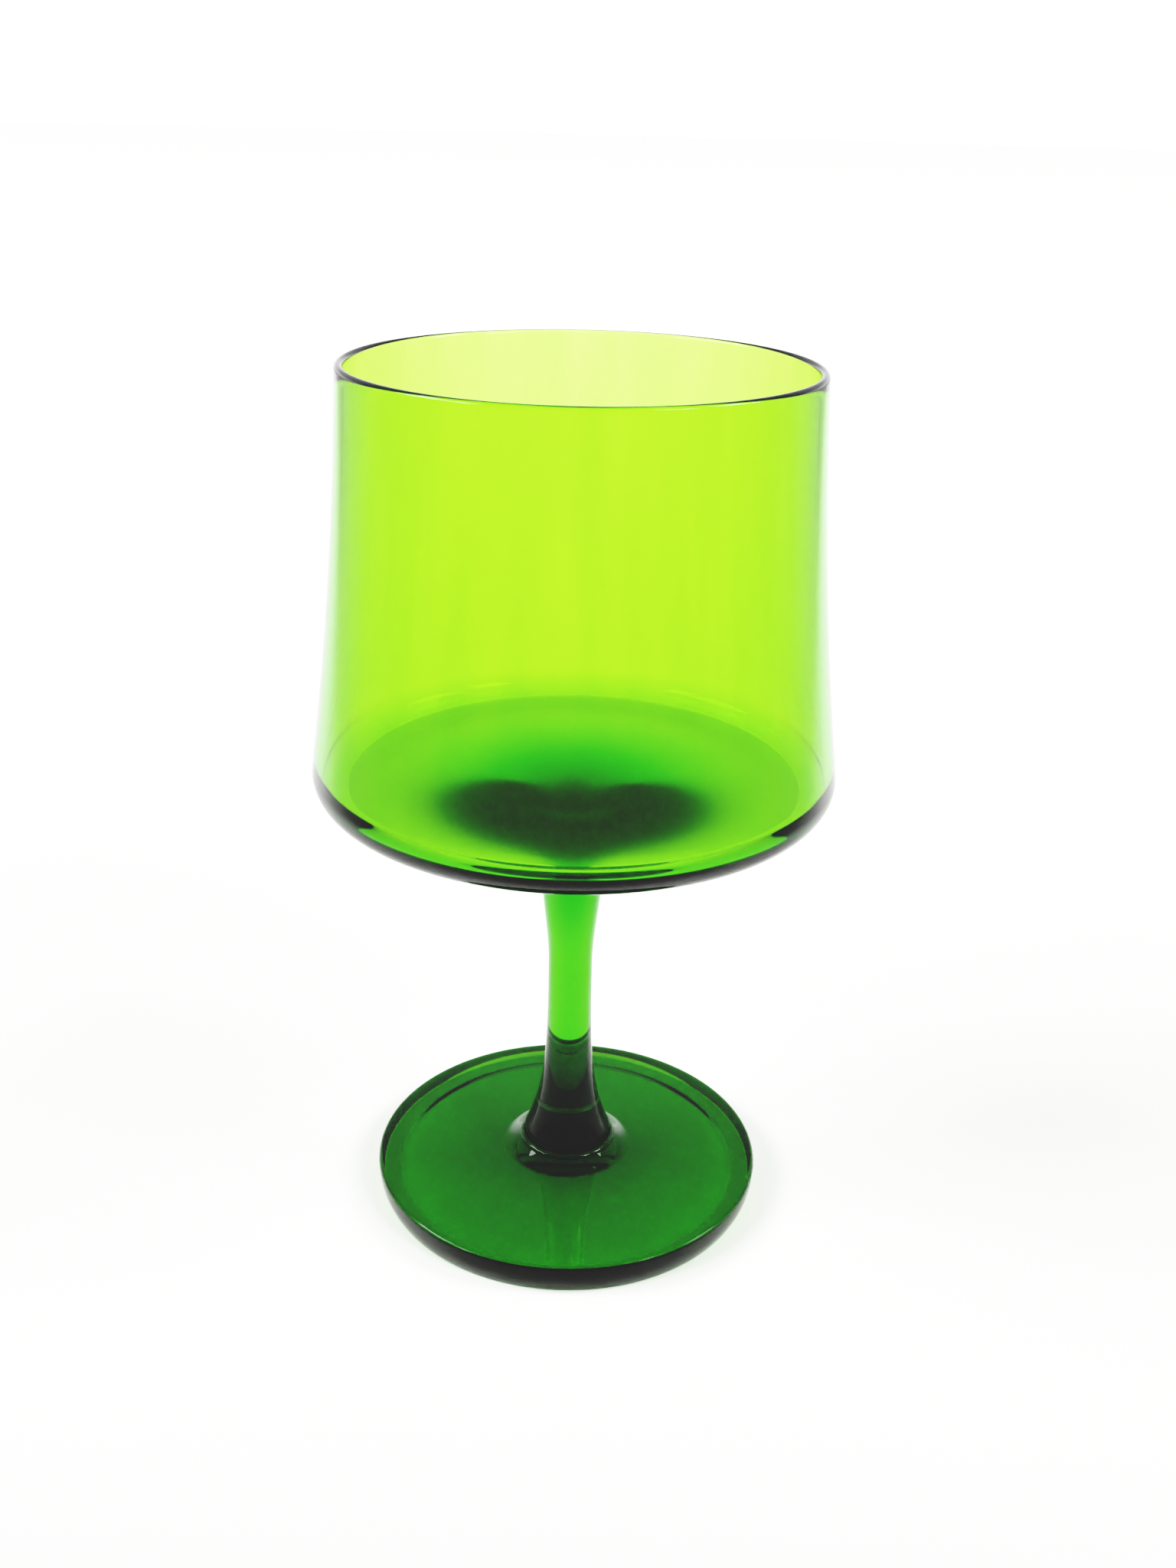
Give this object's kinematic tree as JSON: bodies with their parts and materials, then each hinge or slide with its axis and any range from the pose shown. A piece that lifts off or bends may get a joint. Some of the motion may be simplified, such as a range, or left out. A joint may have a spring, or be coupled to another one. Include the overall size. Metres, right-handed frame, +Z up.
{
  "type": "wine glass",
  "caption": "Green glass goblet: a deep tapering bowl with a rounded heel on a short waisted stem that spreads into a trumpet under it, a low collar and a thick round foot.",
  "frame": {"origin": "centre of the underside, on the plane of the ring that the glass stands on", "axes": "+Z up along the axis of the glass, from the foot to the rim; the glass is round, so +X and +Y are equal"},
  "size_m": [0.094, 0.0938, 0.16],
  "materials": {
    "green_glass": "fire-polished transparent green glass"
  },
  "bodies": {
    "root": {"foot": "green_glass", "collar": "green_glass", "stem": "green_glass", "bowl": "green_glass"}
  },
  "joints": []
}
